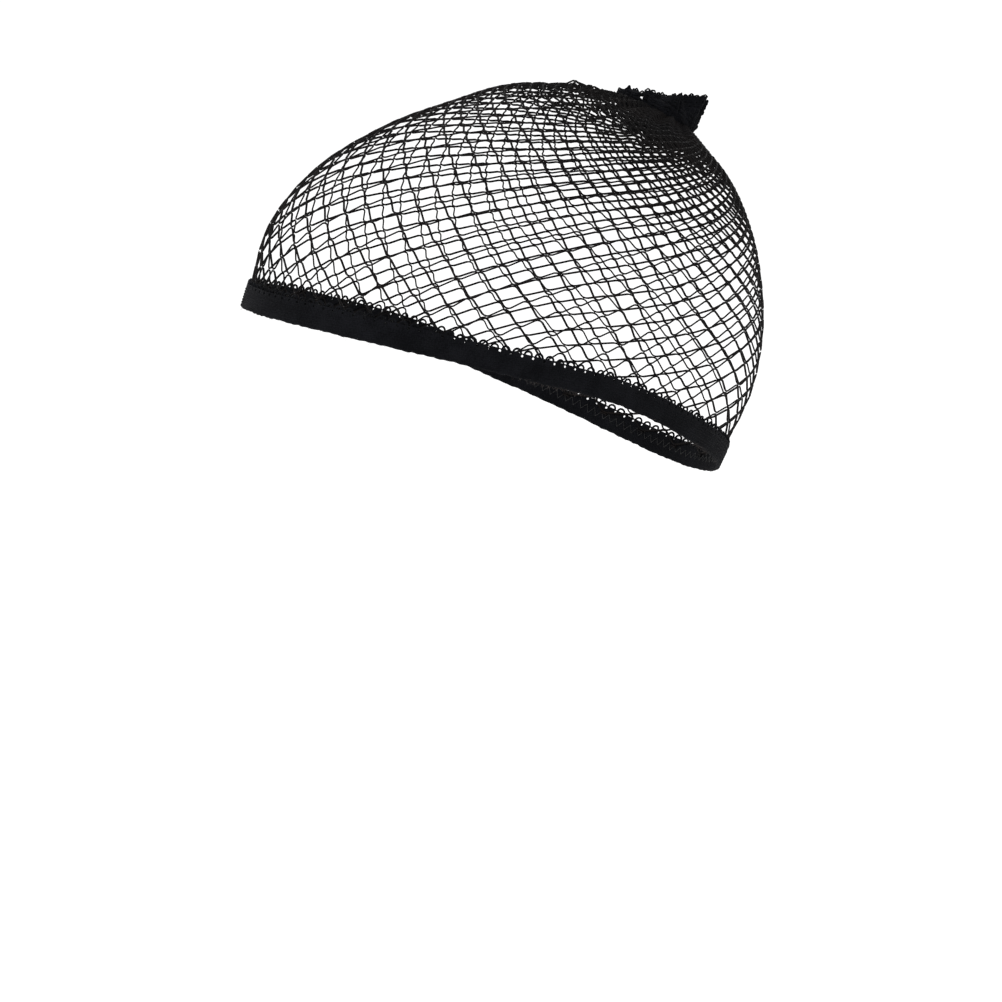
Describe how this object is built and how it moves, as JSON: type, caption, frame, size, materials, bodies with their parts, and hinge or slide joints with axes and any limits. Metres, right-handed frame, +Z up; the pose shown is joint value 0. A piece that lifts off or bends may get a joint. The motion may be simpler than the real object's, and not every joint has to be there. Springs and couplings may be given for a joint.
{
  "type": "wig cap",
  "caption": "Net wig cap in its worn form: open fishnet dome on a knitted elastic band with a picot edge, its top end bunched into a frill.",
  "frame": {"origin": "the middle of the head opening at the band, where the cap sits on a head", "axes": "+Z up, -Y towards the brow, +X towards the wearer's left; the head enters along +Z"},
  "size_m": [0.1572, 0.1986, 0.1477],
  "materials": {
    "elastic_knit": "matte knitted elastic",
    "net_yarn": "fine nylon net yarn, slight sheen"
  },
  "bodies": {
    "root": {"head_band": "elastic_knit", "net_crown": "net_yarn", "crown_frill": "elastic_knit"}
  },
  "joints": []
}
